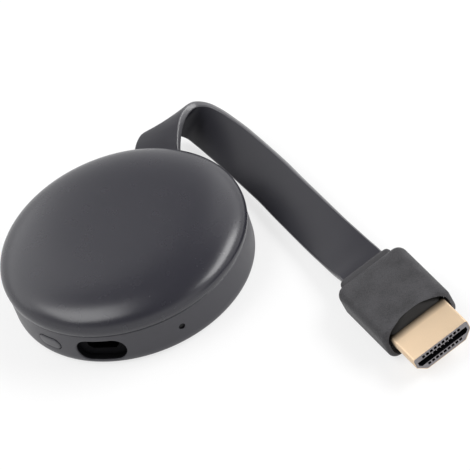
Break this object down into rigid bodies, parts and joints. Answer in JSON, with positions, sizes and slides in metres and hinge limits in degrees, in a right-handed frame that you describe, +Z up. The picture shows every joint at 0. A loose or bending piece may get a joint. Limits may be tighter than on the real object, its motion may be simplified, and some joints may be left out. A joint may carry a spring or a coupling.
{
  "type": "wireless hdmi adapter",
  "caption": "Round pebble-shaped wireless display receiver with a short flat cable to an HDMI plug, a power socket, a reset key and a light in its side.",
  "frame": {"origin": "middle of the puck's underside", "axes": "+Z up out of the domed cover, -Y towards the power socket, +Y towards the cable's exit"},
  "size_m": [0.1075, 0.0762, 0.0142],
  "materials": {
    "cover": "satin",
    "housing": "satin",
    "key": "satin",
    "grip": "fine texture, matte",
    "collar": "matte",
    "jacket": "satin",
    "gold_shell": "satin pale gold plating",
    "contacts": "gold plating",
    "insulator": "matte",
    "tinned_steel": "satin",
    "aluminium": "satin",
    "board": "solder mask",
    "chip_black": "matte",
    "coil": "matte",
    "capacitor": "matte",
    "pad": "matte",
    "clear": "clear",
    "led": "gloss",
    "ivory": "matte"
  },
  "bodies": {
    "puck": {"top_cover": "cover", "lower_housing": "housing", "plug_overmould": "grip", "cable_collar": "collar", "ribbon_cable": "jacket", "cable_tail": "jacket", "cable_clamp": "jacket", "hdmi_shell": "gold_shell", "usb_contacts": "contacts", "hdmi_upper_contacts": "contacts", "hdmi_lower_contacts": "contacts", "antennas": "contacts", "hdmi_insulator": "insulator", "usb_socket_shell": "tinned_steel", "shield_frame": "tinned_steel", "shield_lid": "tinned_steel", "plug_inner_can": "tinned_steel", "radio_module": "tinned_steel", "crystal": "tinned_steel", "board_screws": "tinned_steel", "heat_plate": "aluminium", "main_board": "board", "plug_board": "board", "processor": "chip_black", "memory_chip": "chip_black", "flash_chip": "chip_black", "switch_body": "chip_black", "usb_tongue": "chip_black", "power_coils": "coil", "chip_capacitors": "capacitor", "thermal_pad": "pad", "light_pipe": "clear", "led_chip": "led", "cable_connector": "ivory"},
    "button": {"reset_button": "key"},
    "plunger": {"switch_plunger": "ivory"}
  },
  "joints": [
    {"name": "button_press", "type": "slide", "parent": "puck", "child": "button", "axis": [0.454, 0.891, 0], "range_m": [0, 0.0003], "stiffness_N_per_m": 1200, "springref_m": -0.0002},
    {"name": "plunger_press", "type": "slide", "parent": "puck", "child": "plunger", "axis": [0.454, 0.891, 0], "range_m": [0, 0.0003]}
  ],
  "couplings": [
    {"joint": "plunger_press", "follows": "button_press", "ratio": 1}
  ]
}
